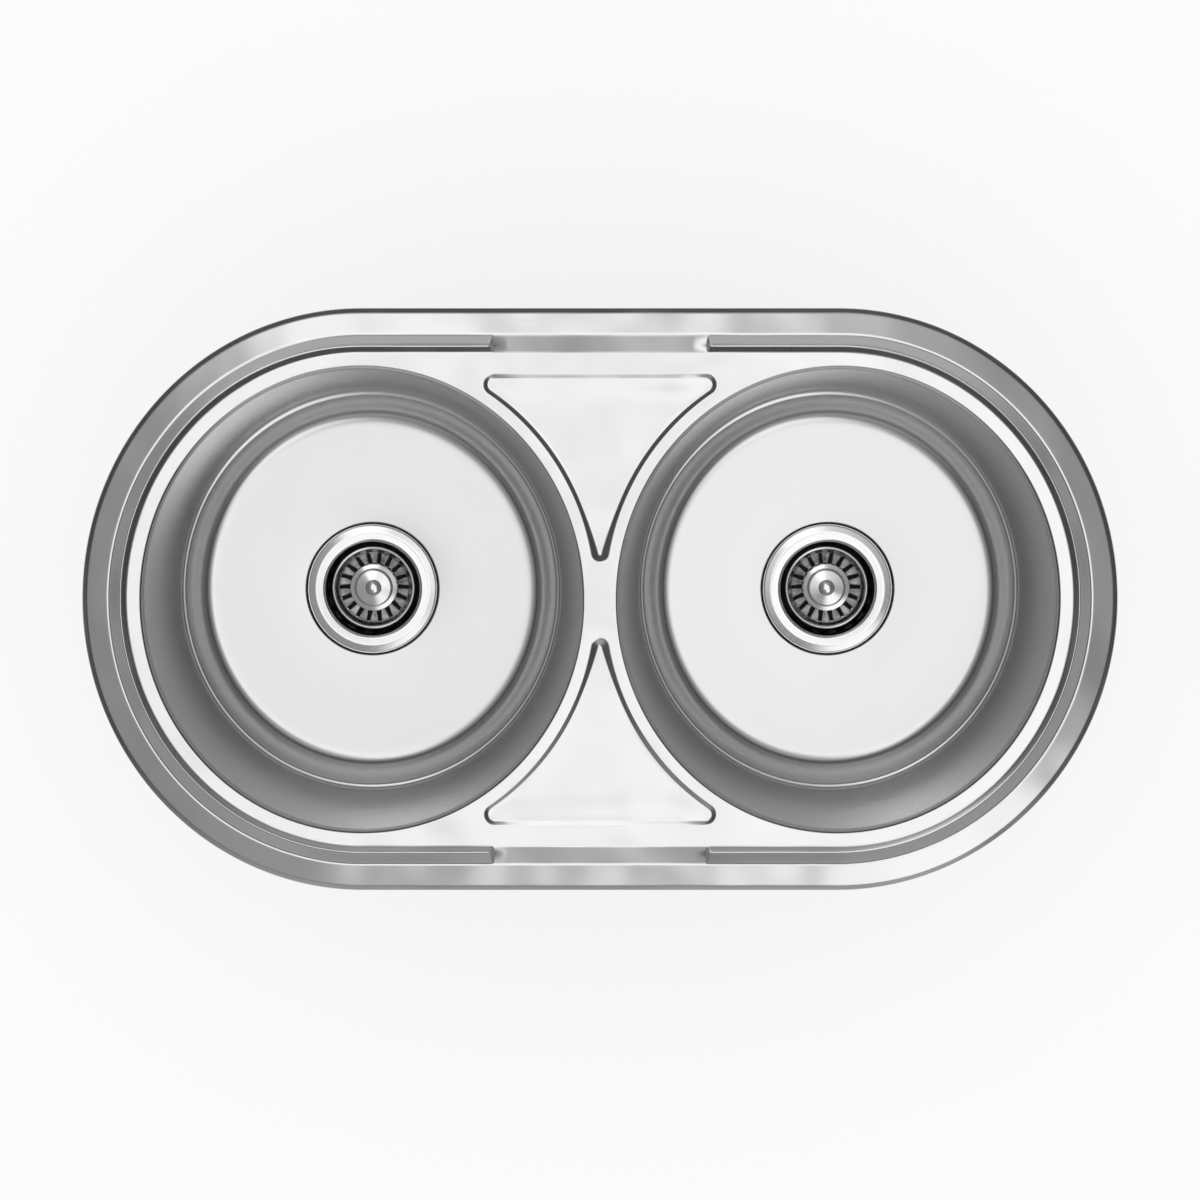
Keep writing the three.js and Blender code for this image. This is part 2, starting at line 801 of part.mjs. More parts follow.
// The clips stand at the bowls' centre lines, front and back, and at both ends.
function clips() {
  const group = new THREE.Group();
  const quarter = Math.PI / 2;
  const places = [
    { x: bowlX, angle: 0 },
    { x: bowlX, angle: quarter },
    { x: -bowlX, angle: quarter },
    { x: -bowlX, angle: 2 * quarter },
    { x: -bowlX, angle: 3 * quarter },
    { x: bowlX, angle: 3 * quarter },
  ];
  places.forEach((place, i) => {
    const clip = new THREE.Group();
    const name = "clip_" + (i + 1);
    clip.add(clipBracket(name + "_bracket"), clipScrew(name + "_screw"), clipJaw(name + "_jaw"));
    clip.position.copy(rimPoint(place, ledge + clipInset));
    clip.rotation.z = place.angle;
    group.add(clip);
  });
  return group;
}

// ---------------------------------------------------------------------------
// The sink
// ---------------------------------------------------------------------------

const sink = new THREE.Group();
sink.add(sinkDeck(), rimSeal(), clips());
for (const [side, x] of [
  ["left", -bowlX],
  ["right", bowlX],
]) {
  const half = new THREE.Group();
  half.add(sinkBowl(side + "_bowl"), soundPad(side + "_sound_pad"), waste(side));
  half.position.x = x;
  sink.add(half);
}

export default sink;
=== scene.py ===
# %% [markdown]
# # A double bowl kitchen sink in stainless steel
# The real sink is three sheet steel pressings: a top with a raised rim, and two deep drawn bowls that
# are welded under its mouths. Two basket strainer wastes, a foam seal and six clips are fitted to it.
# The CAD model is loaded as the frame. It says where each piece is, and every surface below is a finer,
# smoother version of one of its solids. Sizes are in millimetres, +X to the right, +Y to the back and
# +Z up, from the middle between the bowls on the worktop's upper face.

# %% Load the frame
import json

import bmesh
import bpy
import numpy as np
from mathutils.geometry import delaunay_2d_cdt
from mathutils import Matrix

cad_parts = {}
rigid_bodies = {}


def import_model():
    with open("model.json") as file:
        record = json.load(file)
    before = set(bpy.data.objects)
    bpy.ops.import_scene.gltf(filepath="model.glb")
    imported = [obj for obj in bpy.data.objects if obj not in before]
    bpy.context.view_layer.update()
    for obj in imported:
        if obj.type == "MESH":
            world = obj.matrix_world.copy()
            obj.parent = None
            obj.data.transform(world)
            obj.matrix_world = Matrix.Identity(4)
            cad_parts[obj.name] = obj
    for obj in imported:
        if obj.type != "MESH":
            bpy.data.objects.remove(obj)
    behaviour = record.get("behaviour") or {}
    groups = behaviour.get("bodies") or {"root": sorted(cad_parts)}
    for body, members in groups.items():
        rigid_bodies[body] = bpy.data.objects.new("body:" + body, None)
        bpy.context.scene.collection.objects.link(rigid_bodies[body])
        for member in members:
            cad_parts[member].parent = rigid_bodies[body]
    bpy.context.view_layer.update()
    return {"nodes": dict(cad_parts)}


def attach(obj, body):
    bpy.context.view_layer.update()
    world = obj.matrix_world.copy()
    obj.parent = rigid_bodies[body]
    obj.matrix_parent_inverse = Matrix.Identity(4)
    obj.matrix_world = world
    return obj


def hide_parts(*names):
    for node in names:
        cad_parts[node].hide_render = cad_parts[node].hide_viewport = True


MM = 0.001  # one millimetre in metres
SHEET = 1.0  # thickness of the three pressings
BOWL_X = 202.3  # from the middle of the sink to the axis of each bowl
SIDES = (("left", -BOWL_X), ("right", BOWL_X))

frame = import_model()

# %% [markdown]
# ## Surfaces as arrays
# Sheet metal is a thin skin, so each form here is a grid of points: one parameter runs along a drawn
# line, the other carries it round. A modelling tool could spin or sweep it by hand, but an array keeps
# every size readable. A patch is the points of such a grid with the quads between them, and a piece is
# one or more patches whose common edges are welded.


# %% Grids and patches
def grid_faces(rows, columns, ring_rows=False, ring_columns=False):
    """Quads over a grid of points: quad (i, j) joins points (i, j), (i, j+1), (i+1, j+1), (i+1, j).
    Where a direction is a ring, its last line of points is joined to the first."""
    i = np.arange(rows if ring_rows else rows - 1)
    j = np.arange(columns if ring_columns else columns - 1)
    i, j = np.meshgrid(i, j, indexing="ij")
    down, right = (i + 1) % rows, (j + 1) % columns
    corners = [i * columns + j, i * columns + right, down * columns + right, down * columns + j]
    return np.stack(corners, axis=-1).reshape(-1, 4)


def patch(points, ring_rows=False, ring_columns=False):
    """A rows x columns x 3 array of points as one patch: a list of points and its quads."""
    rows, columns = points.shape[:2]
    return points.reshape(-1, 3), grid_faces(rows, columns, ring_rows, ring_columns)


def upward(points, faces):
    """The patch with its faces turned so that their areas, as vectors, add up to a rise in z.
    A face's area vector is half the cross product of its diagonals."""
    last = faces[:, -1] if faces.shape[1] == 4 else faces[:, 0]
    across = points[faces[:, 2]] - points[faces[:, 0]]
    along = points[last] - points[faces[:, 1]]
    rise = np.cross(across, along)[:, 2].sum()
    return points, faces if rise > 0 else faces[:, ::-1]


# %% [markdown]
# A pressed or turned edge is never sharp. `rounded` takes a drawn line with corners, and eases each
# corner by a short parabola, which is close to the arc a tool leaves.


# %% Rounded lines
def rounded(line, reach, steps=6, ring=False):
    """A line whose corners C become (1-s)^2 A + 2s(1-s) C + s^2 B. A and B lie `reach` before and after
    the corner, or at 45 % of the stretch beside it if that is shorter. The ends of an open line stay."""
    line = np.asarray(line, float)
    reach = np.broadcast_to(np.asarray(reach, float), len(line))[:, None]
    back, ahead = np.roll(line, 1, 0) - line, np.roll(line, -1, 0) - line
    far_back = np.linalg.norm(back, axis=1, keepdims=True)
    far_ahead = np.linalg.norm(ahead, axis=1, keepdims=True)
    a = line + back / far_back * np.minimum(reach, 0.45 * far_back)
    b = line + ahead / far_ahead * np.minimum(reach, 0.45 * far_ahead)
    s = np.linspace(0, 1, steps)[None, :, None]
    eased = (1 - s) ** 2 * a[:, None] + 2 * s * (1 - s) * line[:, None] + s**2 * b[:, None]
    if ring:
        return eased.reshape(-1, line.shape[1])
    return np.concatenate([line[:1], eased[1:-1].reshape(-1, line.shape[1]), line[-1:]])


def resampled(line, step):
    """The same line with points about `step` apart, found by their distance along it."""
    line = np.asarray(line, float)
    far = np.concatenate([[0], np.cumsum(np.linalg.norm(np.diff(line, axis=0), axis=1))])
    at = np.linspace(0, far[-1], int(far[-1] / step) + 2)
    return np.stack([np.interp(at, far, column) for column in line.T], axis=-1)


def drawn_line(corners, steps, ring=False):
    """The rounded line through corners that are each given as (radius, height, rounding)."""
    corners = np.asarray(corners, float)
    return rounded(corners[:, :2], corners[:, 2], steps, ring)


def smooth(share):
    """s^2 (3 - 2 s): a share that leaves 0 and reaches 1 level, and stays there beyond them."""
    share = np.clip(share, 0, 1)
    return share**2 * (3 - 2 * share)


def full_turn(steps):
    """A column of even angles, once round a circle."""
    return (np.arange(steps) * 2 * np.pi / steps)[:, None]


# %% [markdown]
# ## Making a piece
# `make` puts patches into one mesh. A sheet gets its thickness from a Solidify modifier, on the side
# that isn't seen. A solid body is closed already, so its faces are only turned outwards. Each piece
# then rides on the body that carries it, and the CAD node it refines is hidden.


# %% Pieces
WELD = 1e-6  # metres: points closer than this are one
made = {}


def make(name, patches, node, body, finish, sheet=0.0):
    """One piece from patches in millimetres: welds points closer than a thousandth of a millimetre,
    turns the faces, adds the sheet's thickness and the finish, ties it to its body and hides its CAD node."""
    if sheet:
        patches = [upward(*each) for each in patches]
    starts = np.cumsum([0] + [len(points) for points, _ in patches])
    points = np.concatenate([points for points, _ in patches]) * MM
    faces = [face for start, (_, part) in zip(starts, patches) for face in (part + start).tolist()]
    mesh = bpy.data.meshes.new(name)
    mesh.from_pydata(points.tolist(), [], faces)
    shape = bmesh.new()
    shape.from_mesh(mesh)
    bmesh.ops.remove_doubles(shape, verts=shape.verts, dist=WELD)
    if not sheet:
        bmesh.ops.recalc_face_normals(shape, faces=shape.faces)
    shape.to_mesh(mesh)
    shape.free()
    mesh.shade_smooth()
    piece = bpy.data.objects.new(name, mesh)
    bpy.context.scene.collection.objects.link(piece)
    if sheet:
        solid = piece.modifiers.new("sheet", "SOLIDIFY")
        solid.thickness = sheet * MM
        solid.offset = -1
    else:
        piece.modifiers.new("flat faces", "WEIGHTED_NORMAL")
    material, slot = finish
    mesh.materials.append(material)
    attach(piece, body)
    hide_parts(node)
    made[name] = len(mesh.polygons)


def turned(line, x=0.0, steps=96, ring=True, lobes=None, thread=None):
    """A line of [radius, height] turned round an upright axis at x: (x + r cos a, r sin a, z).
    lobes = (radius, factor): beyond that radius, r is multiplied by factor(a).
    thread = (radius, low, high, pitch, depth): into the wall at that radius a helix is cut, to
    depth (1 - cos(2 pi z / pitch - a)) / 2, which fades in and out over one pitch."""
    a = full_turn(steps)
    r, z = (column[None, :] + 0 * a for column in np.asarray(line, float).T)
    if lobes:
        r = np.where(r > lobes[0], r * lobes[1](a), r)
    if thread:
        radius, low, high, pitch, depth = thread
        tolerance = 0.05
        here = (np.abs(r - radius) < tolerance) & (z > low) & (z < high)
        fade = np.clip(np.minimum(z - low, high - z) / pitch, 0, 1)
        cut = depth * fade * (0.5 - 0.5 * np.cos(2 * np.pi * z / pitch - a))
        r = np.where(here, r - cut, r)
    points = np.stack([x + r * np.cos(a), r * np.sin(a), z], axis=-1)
    return patch(points, ring_rows=True, ring_columns=ring)


# %% [markdown]
# ## Colours and material nodes
# Colours are written as sRGB hex values. Blender calculates in linear light,
# so one function converts them. The others add a node with its settings and links, or the few nodes
# that several materials share.


# %% Colour and node helpers
def linear(hex_colour):
    """sRGB to linear light: c / 12.92 up to 0.04045, and ((c + 0.055) / 1.055)^2.4 above it."""
    c = np.array([int(hex_colour[i : i + 2], 16) for i in (1, 3, 5)]) / 255
    light = np.where(c <= 0.04045, c / 12.92, ((c + 0.055) / 1.055) ** 2.4)
    return (*light.tolist(), 1.0)


def add(tree, kind, inputs=None, **settings):
    """A new node. `inputs` gives each named or numbered socket a value, or a socket to link from."""
    node = tree.nodes.new(kind)
    for key, value in settings.items():
        setattr(node, key, value)
    for key, value in (inputs or {}).items():
        if isinstance(value, bpy.types.NodeSocket):
            tree.links.new(value, node.inputs[key])
        else:
            node.inputs[key].default_value = value
    return node


def grey(level):
    """An opaque grey of that level in linear light."""
    return (level, level, level, 1)


def calculated(tree, operation, a, b=0.0):
    """The result of one sum on one or two numbers or sockets."""
    return add(tree, "ShaderNodeMath", {0: a, 1: b}, operation=operation).outputs[0]


def mixed(tree, factor, a, b):
    """The colour between a and b. A Mix node takes its colours at 6 and 7, and gives one at 2."""
    return add(tree, "ShaderNodeMix", {0: factor, 6: a, 7: b}, data_type="RGBA").outputs[2]


def spread(tree, noise, middle, variation):
    """A noise, mostly between 0.3 and 0.7, mapped to the middle value plus or minus the variation."""
    return add(tree, "ShaderNodeMapRange", {
        "Value": noise, "From Min": 0.3, "From Max": 0.7,
        "To Min": middle - variation, "To Max": middle + variation,
    }).outputs[0]


def empty_tree(owner):
    """The node tree of a new material or world, without its first nodes."""
    owner.use_nodes = True
    owner.node_tree.nodes.clear()
    return owner.node_tree


def material_tree(name):
    """A new material with an empty node tree: (material, tree, its Object coordinates)."""
    material = bpy.data.materials.new(name)
    tree = empty_tree(material)
    return material, tree, add(tree, "ShaderNodeTexCoord").outputs["Object"]


def surface_of(tree, shader):
    """Ends a material's tree in this shader."""
    add(tree, "ShaderNodeOutputMaterial", {"Surface": shader.outputs["BSDF"]})


def metal_surface(tree, colour, roughness, normal):
    """Ends a material's tree in a metal."""
    surface_of(tree, add(tree, "ShaderNodeBsdfPrincipled", {
        "Base Color": linear(colour), "Metallic": 1.0, "Roughness": roughness, "Normal": normal,
    }))


# %% [markdown]
# ## Satin stainless steel
# Type 304 steel sheet leaves the rolls with a fine straight grain along its length, and the press adds
# a very shallow unevenness over 60 to 120 mm, which bends the reflection of a lamp into soft clouds.
# The eye sees bright metal whose reflections are smeared across the grain. Grain lines are about 0.1 mm
# wide, finer than a pixel here, so they are drawn 1 mm wide and very shallow.


# %% Satin steel
STAINLESS = "#E8E8E9"
FINE_RELIEF = 0.0001  # metres


def brushed(tree, place, grain, roughness, waves_per_metre, wave_height):
    """Ends a tree in steel with this grain in its relief and roughness, over a broad unevenness of that
    many waves to the metre and that height in metres."""
    broad = add(tree, "ShaderNodeTexNoise", {"Vector": place, "Scale": waves_per_metre, "Detail": 1.0})
    uneven = add(tree, "ShaderNodeBump", {"Height": broad.outputs[0], "Strength": 0.5,
                                          "Distance": wave_height})
    fine = add(tree, "ShaderNodeBump", {"Height": grain.outputs[0], "Normal": uneven.outputs[0],
                                        "Strength": 0.02, "Distance": FINE_RELIEF})
    metal_surface(tree, STAINLESS, spread(tree, grain.outputs[0], roughness, 0.01), fine.outputs[0])


def satin_steel(name, grain_scale, roughness):
    """Its grain is a stretched noise: grain_scale is how many grains a metre holds along X, Y and Z."""
    material, tree, place = material_tree(name)
    stretched = add(tree, "ShaderNodeMapping", {"Vector": place, "Scale": grain_scale})
    grain = add(tree, "ShaderNodeTexNoise", {"Vector": stretched.outputs[0], "Scale": 1.0, "Detail": 3.0})
    brushed(tree, place, grain, roughness, 11.0, 0.006)
    return material


DECK_STEEL = (satin_steel("satin_304_sheet", (25, 900, 900), 0.2), "satin_steel")


# %% [markdown]
# ## Round brushed steel of the bowls
# A drawn bowl is polished while it turns, so its marks run round the waste. The pattern is therefore a
# noise on distance from the bowl's axis and height, stretched along the angle. Cosine and sine of the
# angle stand in for the angle itself, so that the pattern has no seam.


# %% Bowl steel
MARKS_PER_METRE, MARK_TURNS = 700.0, 6.0


def bowl_steel(name, roughness):
    """The grain is a 4-D noise on (distance, cosine, sine) and height, about each bowl's own axis."""
    material, tree, place = material_tree(name)
    at = add(tree, "ShaderNodeSeparateXYZ", {"Vector": place})
    x = calculated(tree, "SUBTRACT", calculated(tree, "ABSOLUTE", at.outputs[0]), BOWL_X * MM)
    flat = add(tree, "ShaderNodeCombineXYZ", {"X": x, "Y": at.outputs[1]})
    far = add(tree, "ShaderNodeVectorMath", {0: flat.outputs[0]}, operation="LENGTH")
    turn = add(tree, "ShaderNodeVectorMath", {0: flat.outputs[0]}, operation="NORMALIZE")
    unit = add(tree, "ShaderNodeSeparateXYZ", {"Vector": turn.outputs[0]})
    vector = add(tree, "ShaderNodeCombineXYZ", {
        "X": calculated(tree, "MULTIPLY", far.outputs["Value"], MARKS_PER_METRE),
        "Y": calculated(tree, "MULTIPLY", unit.outputs[0], MARK_TURNS),
        "Z": calculated(tree, "MULTIPLY", unit.outputs[1], MARK_TURNS),
    })
    levels = calculated(tree, "MULTIPLY", at.outputs[2], MARKS_PER_METRE)
    grain = add(tree, "ShaderNodeTexNoise", {"Vector": vector.outputs[0], "W": levels, "Scale": 1.0,
                                             "Detail": 3.0}, noise_dimensions="4D")
    brushed(tree, place, grain, roughness, 9.0, 0.0008)
    return material


BOWL_STEEL = (bowl_steel("round_brushed_304", 0.25), "bowl_steel")


# %% [markdown]
# ## Polished and zinc plated steel
# The waste's flange, basket and knob are pressed from the same steel and buffed: sharp reflections with
# hair-fine scratches in all directions. The clips and locknuts are mild steel under a thin layer of
# zinc, greyer and duller, with the frosty mottling of the bath.


# %% Polished and plated steel
def mottled_metal(name, colour, roughness, spots_per_metre, bump, variation):
    """Metal whose roughness and relief vary with a noise of that many spots to the metre."""
    material, tree, place = material_tree(name)
    spots = add(tree, "ShaderNodeTexNoise", {"Vector": place, "Scale": spots_per_metre, "Detail": 4.0})
    rough = spread(tree, spots.outputs[0], roughness, variation)
    relief = add(tree, "ShaderNodeBump", {"Height": spots.outputs[0], "Strength": bump,
                                          "Distance": FINE_RELIEF})
    metal_surface(tree, colour, rough, relief.outputs[0])
    return material


POLISHED = (mottled_metal("polished_304", "#E9E9EA", 0.13, 500.0, 0.05, 0.04), "polished_steel")
ZINC = (mottled_metal("zinc_plated_steel", "#C9CCCB", 0.38, 350.0, 0.3, 0.08), "zinc_steel")


# %% [markdown]
# ## Rubber, foam, fibre and plastic
# The washers are moulded rubber, black and matt. The seal is closed-cell foam, whose cut cells show as
# tiny pits. The friction washer is brown vulcanised fibre, and the outlet fittings are white
# polypropylene, which lets a little light in and has a soft gloss.


# %% Soft and moulded materials
def moulded(name, colours, roughness, pits_per_metre, depth, clearness=0.0):
    """A moulded material with a noise of pits in its surface, and its colour between two as they go."""
    material, tree, place = material_tree(name)
    pits = add(tree, "ShaderNodeTexNoise", {"Vector": place, "Scale": pits_per_metre, "Detail": 2.0})
    relief = add(tree, "ShaderNodeBump", {"Height": pits.outputs[0], "Strength": 0.5, "Distance": depth})
    surface_of(tree, add(tree, "ShaderNodeBsdfPrincipled", {
        "Base Color": mixed(tree, pits.outputs[0], *map(linear, colours)), "Roughness": roughness,
        "Subsurface Weight": clearness, "Subsurface Scale": 2 * MM, "Normal": relief.outputs[0],
    }))
    return material


RUBBER = (moulded("moulded_rubber", ("#1D1D1E", "#2B2B2C"), 0.62, 900.0, 0.0001), "black_rubber")
FOAM = (moulded("closed_cell_foam", ("#2A2A2B", "#414142"), 0.9, 1600.0, 0.0006), "seal_foam")
FIBRE = (moulded("vulcanised_fibre", ("#A5743C", "#C79A62"), 0.75, 600.0, 0.0002), "fibre")
PLASTIC = (moulded("white_polypropylene", ("#E4E4DF", "#EBEBE7"), 0.38, 150.0, 0.0001, 0.15),
           "white_plastic")
print("materials:", [m.name for m in bpy.data.materials])

# %% [markdown]
# ## The pressed top: rim, channel and ridge
# A press forms the rim in one stroke: a flat ledge round the mouths, a channel that drains water back,
# a ridge, and a band that falls to the turned-down edge. Round the sink the same section is carried
# along half ovals at the ends and straight runs between them, so the surface is a function of the place
# round the rim and of the distance outwards from the mouths. The section is straight slopes, because
# each one mirrors one part of the room, and their creases are blurred to a small radius. In the middle
# of the front and back runs the channel is left out, and this land ends in crisp steps.

# %% Plan of the top
MOUTH_X, MOUTH_Y = 185.5, 195.7  # half sizes of a mouth
LEDGE_TOP, RIDGE_TOP = 3.5, 8.5  # heights
LEDGE, RIDGE_AT, EDGE_AT = 14.8, 29.8, 51.8  # distances outwards from the mouths
LAND, LAND_STEP = 90, 3  # half length of the land, and the length of the step at its end


def oval_place(centre_x, angle, offset, z):
    """(cx + (a + offset) cos t, (b + offset) sin t, z): ovals counted outwards from a mouth's a x b."""
    x = centre_x + (MOUTH_X + offset) * np.cos(angle)
    y = (MOUTH_Y + offset) * np.sin(angle)
    return np.stack(np.broadcast_arrays(x, y, z), axis=-1)


near = np.concatenate([
    np.linspace(BOWL_X, LAND + 2 * LAND_STEP, 10)[1:],
    np.linspace(LAND + LAND_STEP, LAND, 7),
    np.linspace(78, 6, 7),
])
run = np.concatenate([near, -near[::-1]])
half_turn = np.linspace(-np.pi / 2, np.pi / 2, 121)
one = np.ones(len(run))
station_x = np.concatenate([0 * half_turn + BOWL_X, run, 0 * half_turn - BOWL_X, -run])[:, None]
station_angle = np.concatenate([half_turn, one * np.pi / 2, half_turn + np.pi, one * 1.5 * np.pi])[:, None]
print("stations round the rim:", len(station_x))


# %% Section of the rim
def eased(heights, spacing, blur):
    """Heights along evenly spaced points, blurred by a bell curve, so that creases get a radius."""
    reach = int(4 * blur / spacing)
    bell = np.exp(-0.5 * (np.arange(-reach, reach + 1) * spacing / blur) ** 2)
    longer = np.pad(heights, reach, mode="reflect", reflect_type="odd")
    return np.convolve(longer, bell / bell.sum(), mode="valid")


SPACING, CREASE = 0.4, 0.5  # of the points across the rim, and the blur of its creases
RIM_FROM, FLOOR_AT, BEVEL_AT = 10.2, 20.0, 47.6  # distances outwards from the mouths
CHANNEL_FLOOR, BEVEL_TOP, BEVEL_FOOT = 0.9, 5.3, 3.4  # heights
across = np.arange(RIM_FROM, EDGE_AT - SPACING, SPACING)
ledge_line = [(10, LEDGE_TOP), (LEDGE - 0.4, LEDGE_TOP)]
outer_line = [(RIDGE_AT - 1, RIDGE_TOP), (RIDGE_AT + 0.7, RIDGE_TOP), (BEVEL_AT, BEVEL_TOP),
              (EDGE_AT, BEVEL_FOOT)]
channel_line = ledge_line + [(FLOOR_AT, CHANNEL_FLOOR)] + outer_line
full_channel = eased(np.interp(across, *zip(*channel_line)), SPACING, CREASE)
land_channel = eased(np.interp(across, *zip(*ledge_line, *outer_line)), SPACING, CREASE)
share = smooth((np.abs(station_x) - LAND) / LAND_STEP)
heights = land_channel + share * (full_channel - land_channel)

edge_inside, edge_drop = np.array([(0.08, 0.3), (0, 0.6), (0, 1.6), (0, 2.9)]).T
rim_offset = np.concatenate([across, EDGE_AT - edge_inside])
edge_z = heights[:, -1:] - edge_drop
rim = oval_place(station_x, station_angle, rim_offset, np.concatenate([heights, edge_z], axis=1))
print("rim:", rim.shape, "channel floor", round(full_channel.min(), 2), "edge", np.round(edge_z[0], 2))

# %% [markdown]
# ## Mouth lips and embossed triangles
# At each mouth the sheet is rolled down into a short lip, which the bowl's wall meets in a thin welded
# seam. The two triangles between the bowls stiffen the top: a step of 1.8 mm follows the bowls at a
# fixed distance and runs round the corners. It is nearly flush along the straight edge, and deeper at
# the tip. Each outline is drawn at several insets, and the step is the surface between them. The panel
# inside is a grid from one side to the other, so that its gentle dips reflect without facets.

# %% Mouth lips
lip_out, lip_z = drawn_line(
    [(4.5, LEDGE_TOP, 0), (3.4, LEDGE_TOP, 0.4), (1.5, 2.4, 0.5), (0.1, 0.9, 0.8), (0, -3, 0)], steps=5).T
mouth_angle = full_turn(192)
lips = [oval_place(x, mouth_angle, lip_out, lip_z) for _, x in SIDES]


# %% Triangle outlines
def arc(x, y, radius, start, end, steps):
    """Points of an arc: (x + r cos a, y + r sin a)."""
    a = np.linspace(start, end, steps)
    return np.stack([x + radius * np.cos(a), y + radius * np.sin(a)], axis=-1)


def oval_offset(x, y):
    """How far outside a mouth the oval through (x, y) from its centre lies, found by halving."""
    low, high = 0.0, MOUTH_X
    for _ in range(50):
        middle = (low + high) / 2
        outside = np.hypot(x / (MOUTH_X + middle), y / (MOUTH_Y + middle)) > 1
        low, high = (middle, high) if outside else (low, middle)
    return (low + high) / 2


STRAIGHT_PARTS = 11  # quads along half the straight edge
STRAIGHT_Y = MOUTH_Y - 3.8
TIP_Y, TAPER, TIP_GROWTH = 40.0, 45, 0.7


def tip_factor(y):
    """1, and over the last 45 mm before the tip up to 1.7, by a parabola."""
    to_tip = np.clip((TIP_Y + TAPER - y) / TAPER, 0, 1)
    return 1 + TIP_GROWTH * to_tip**2


def triangle_outline(inset):
    """Half of it is the straight edge, a wide corner's arc, a stretch of oval beside the bowl and the
    tip's arc, each drawn in by the inset; the other half mirrors it. Over the last 45 mm before the tip
    the inset of the side grows to 1.7 times as much, so that the inner outlines end in a point."""
    margin, corner = 12.9, 9.1
    corner_y = STRAIGHT_Y - corner
    corner_angle = np.pi - np.arcsin(corner_y / (MOUTH_Y + margin + corner))
    corner_x = BOWL_X + (MOUTH_X + margin + corner) * np.cos(corner_angle)
    tip_offset = oval_offset(BOWL_X, TIP_Y)
    tip_angle = np.pi - np.arcsin(TIP_Y / (MOUTH_Y + tip_offset))
    tip_radius = tip_offset - margin
    along = np.linspace(corner_angle, tip_angle, 50)[1:-1]
    drawn_in = inset * tip_factor((MOUTH_Y + margin) * np.sin(along))
    side = oval_place(BOWL_X, along, margin + drawn_in, 0.0)[:, :2]
    straight_x = np.linspace(0, corner_x, STRAIGHT_PARTS + 1)[:-1]
    half = np.concatenate([
        np.stack([straight_x, 0 * straight_x + corner_y + corner - inset], axis=-1),
        arc(corner_x, corner_y, corner - inset, np.pi / 2, corner_angle - np.pi, 12),
        side,
        arc(0, TIP_Y, tip_radius - inset * (1 + TIP_GROWTH), tip_angle - np.pi, -np.pi / 2, 9),
    ])
    return np.concatenate([half, half[-2:0:-1] * [-1, 1]])


STEP_WIDTH, STEP_DEPTH = 3.4, 1.8
FLUSH_SHARE, FLUSH_REACH = 0.75, 16
FLUSH_END, FLUSH_FADE = 97, 30


def panel_height(x, y):
    """Height of the embossed panel: the full step deep, but only a quarter of it along the straight
    edge, from which it dips by a bell curve over 16 mm, and which fades out 30 mm before the corners. Over
    the last 45 mm before the tip it dips to 1.7 times the step, which keeps the step as steep there."""
    bell = np.exp(-(((STRAIGHT_Y - np.abs(y)) / FLUSH_REACH) ** 2))
    flush = bell * smooth((FLUSH_END - np.abs(x)) / FLUSH_FADE)
    return LEDGE_TOP - STEP_DEPTH * (1 - FLUSH_SHARE * flush) * tip_factor(np.abs(y))


insets = np.linspace(-0.6, STEP_WIDTH + 0.45, 14)
step_share = eased(np.clip(insets / STEP_WIDTH, 0, 1), insets[1] - insets[0], 0.3)
step_share[0] = 0
outlines = np.stack([triangle_outline(inset) for inset in insets], axis=1)
step_z = LEDGE_TOP - step_share * (LEDGE_TOP - panel_height(outlines[..., 0], outlines[..., 1]))
step_z[:, -1] = panel_height(outlines[:, -1, 0], outlines[:, -1, 1])
triangles = [np.concatenate([outlines * [1, back], step_z[..., None]], axis=-1) for back in (1, -1)]

inner_half = outlines[STRAIGHT_PARTS : len(outlines) // 2 + 1, -1]
panel_x = inner_half[:, :1] * np.linspace(-1, 1, 2 * STRAIGHT_PARTS + 1)
panel_y = inner_half[:, 1:] + 0 * panel_x
floors = [np.stack([panel_x, back * panel_y, panel_height(panel_x, panel_y)], axis=-1) for back in (1, -1)]
print("triangle outline points:", outlines.shape, "tip at y", outlines[..., 1].min().round(1))

# %% [markdown]
# ## The flat of the top
# Between rim, mouths and triangles the sheet is flat. A grid can't follow so many outlines, so this
# face is triangulated between the very points of its neighbours' edges, and welded to them there.


# %% Filling a flat face
def fill(loops, z):
    """Triangles between closed outlines at height z. All outlines are constraints of a Delaunay
    triangulation, and a triangle is kept if a line from its centre crosses them an odd number of times."""
    points = np.concatenate(loops)
    starts = np.cumsum([0] + [len(loop) for loop in loops])
    ends = np.concatenate([np.roll(np.arange(a, b), -1) for a, b in zip(starts[:-1], starts[1:])])
    edges = np.stack([np.arange(len(points)), ends], axis=1)
    flat, _, faces, *_ = delaunay_2d_cdt(points.tolist(), edges.tolist(), [], 0, 1e-7)
    flat, faces = np.array([list(p) for p in flat]), np.array(faces)
    centre = flat[faces].mean(axis=1)[:, None]
    a, b = points[edges[:, 0]], points[edges[:, 1]]
    spans = (a[:, 1] > centre[..., 1]) != (b[:, 1] > centre[..., 1])
    lean = (b[:, 0] - a[:, 0]) / np.where(b[:, 1] == a[:, 1], 1, b[:, 1] - a[:, 1])
    beyond = a[:, 0] + (centre[..., 1] - a[:, 1]) * lean > centre[..., 0]
    inside = (spans & beyond).sum(axis=1) % 2 == 1
    return np.column_stack([flat, np.full(len(flat), z)]), faces[inside]


flat_loops = [rim[:, 0, :2]] + [lip[:, 0, :2] for lip in lips] + [t[:, 0, :2] for t in triangles]
deck_patches = [fill(flat_loops, LEDGE_TOP), patch(rim, ring_rows=True)]
deck_patches += [patch(form, ring_rows=True) for form in lips + triangles] + [patch(each) for each in floors]
make("pressed_top", deck_patches, "sink_deck", "sink", DECK_STEEL, sheet=SHEET)
print("pressed top:", made["pressed_top"], "faces")

